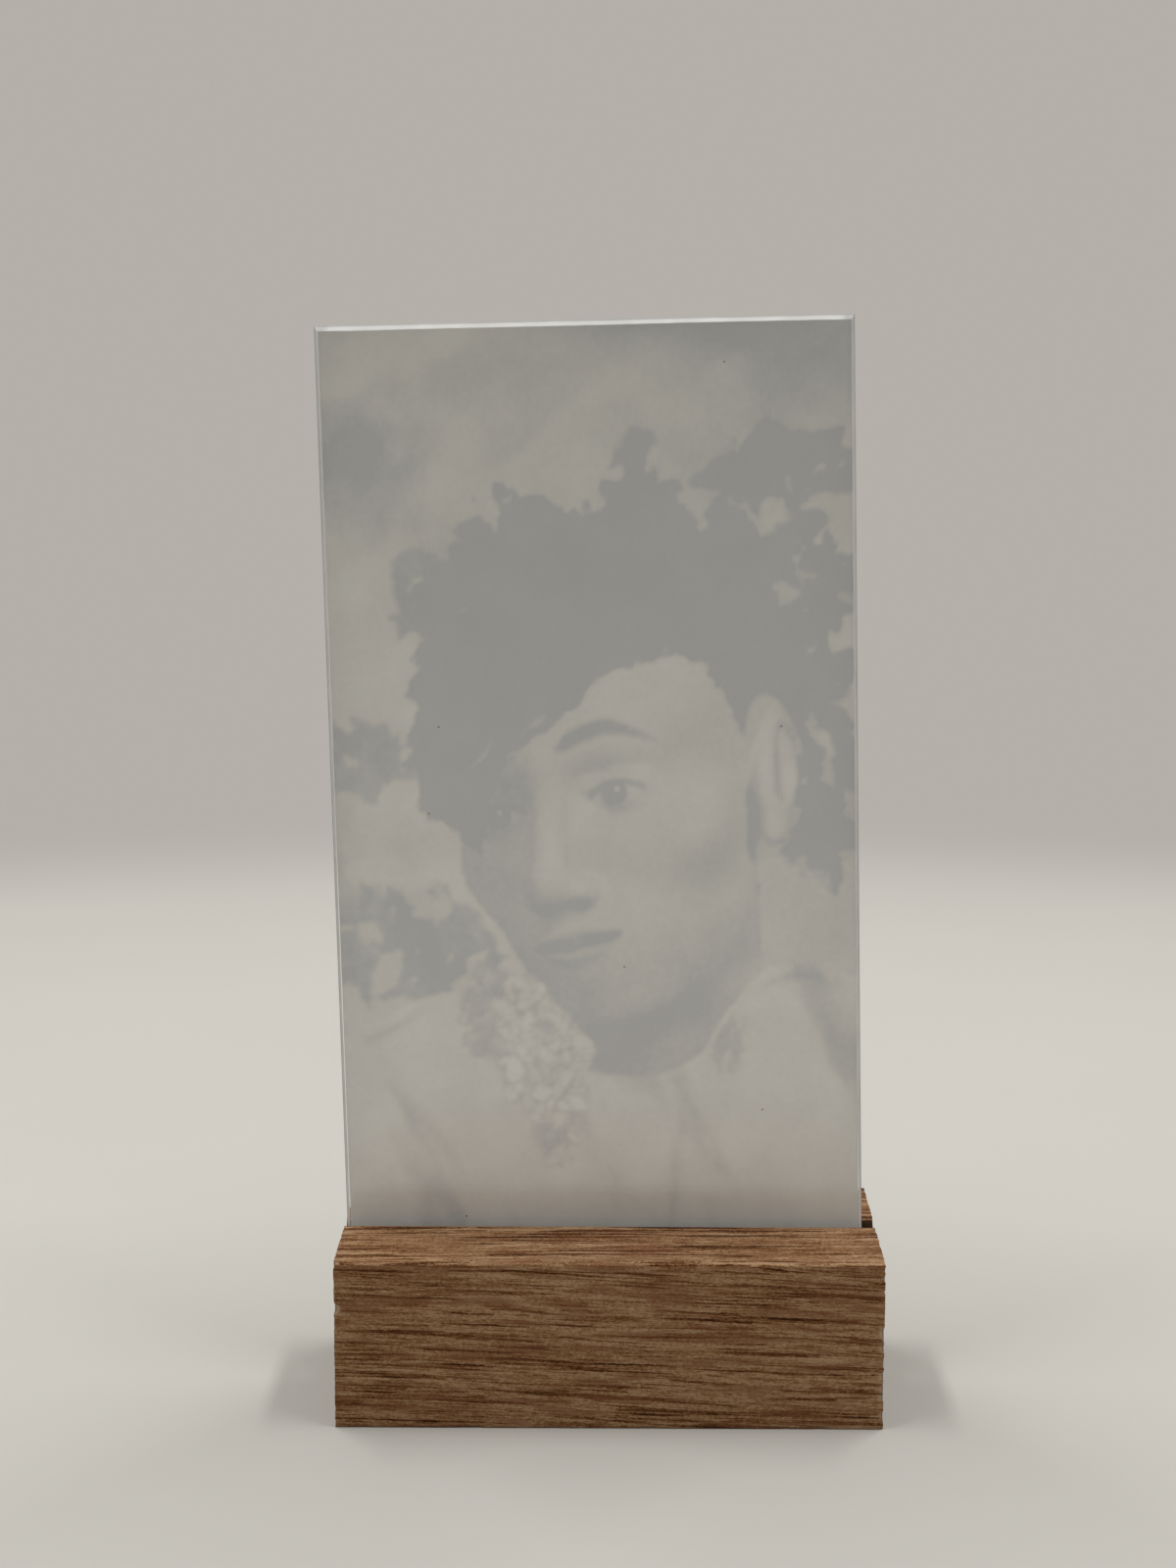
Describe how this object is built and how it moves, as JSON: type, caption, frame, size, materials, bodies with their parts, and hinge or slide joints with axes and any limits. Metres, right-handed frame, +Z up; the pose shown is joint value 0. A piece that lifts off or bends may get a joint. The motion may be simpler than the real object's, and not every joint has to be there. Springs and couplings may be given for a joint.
{
  "type": "glass photo plaque with wood base",
  "caption": "Upright glass plate with a picture bonded to its back, standing loose in the through groove of a solid oak block, for showing a photograph on a shelf or table.",
  "frame": {"origin": "centre of the base's underside, on the surface the plaque stands on", "axes": "+Z up, -Y towards the viewer of the picture, +X to that viewer's right along the groove"},
  "size_m": [0.1065, 0.0484, 0.2073],
  "materials": {
    "oak": "sanded oak with a thin satin oil, sawn ends",
    "clear_glass": "polished faces, ground arrises",
    "picture_print": "soft two-tone grey print seen through glass",
    "back_cover": "matt opaque cover film"
  },
  "bodies": {
    "base": {"oak_base": "oak"},
    "plate": {"glass_plate": "clear_glass", "photo_film": "picture_print", "back_film": "back_cover"}
  },
  "joints": [
    {"name": "plate_lift", "type": "slide", "parent": "base", "child": "plate", "axis": [0, 0, 1], "range_m": [0, 0.02]}
  ]
}
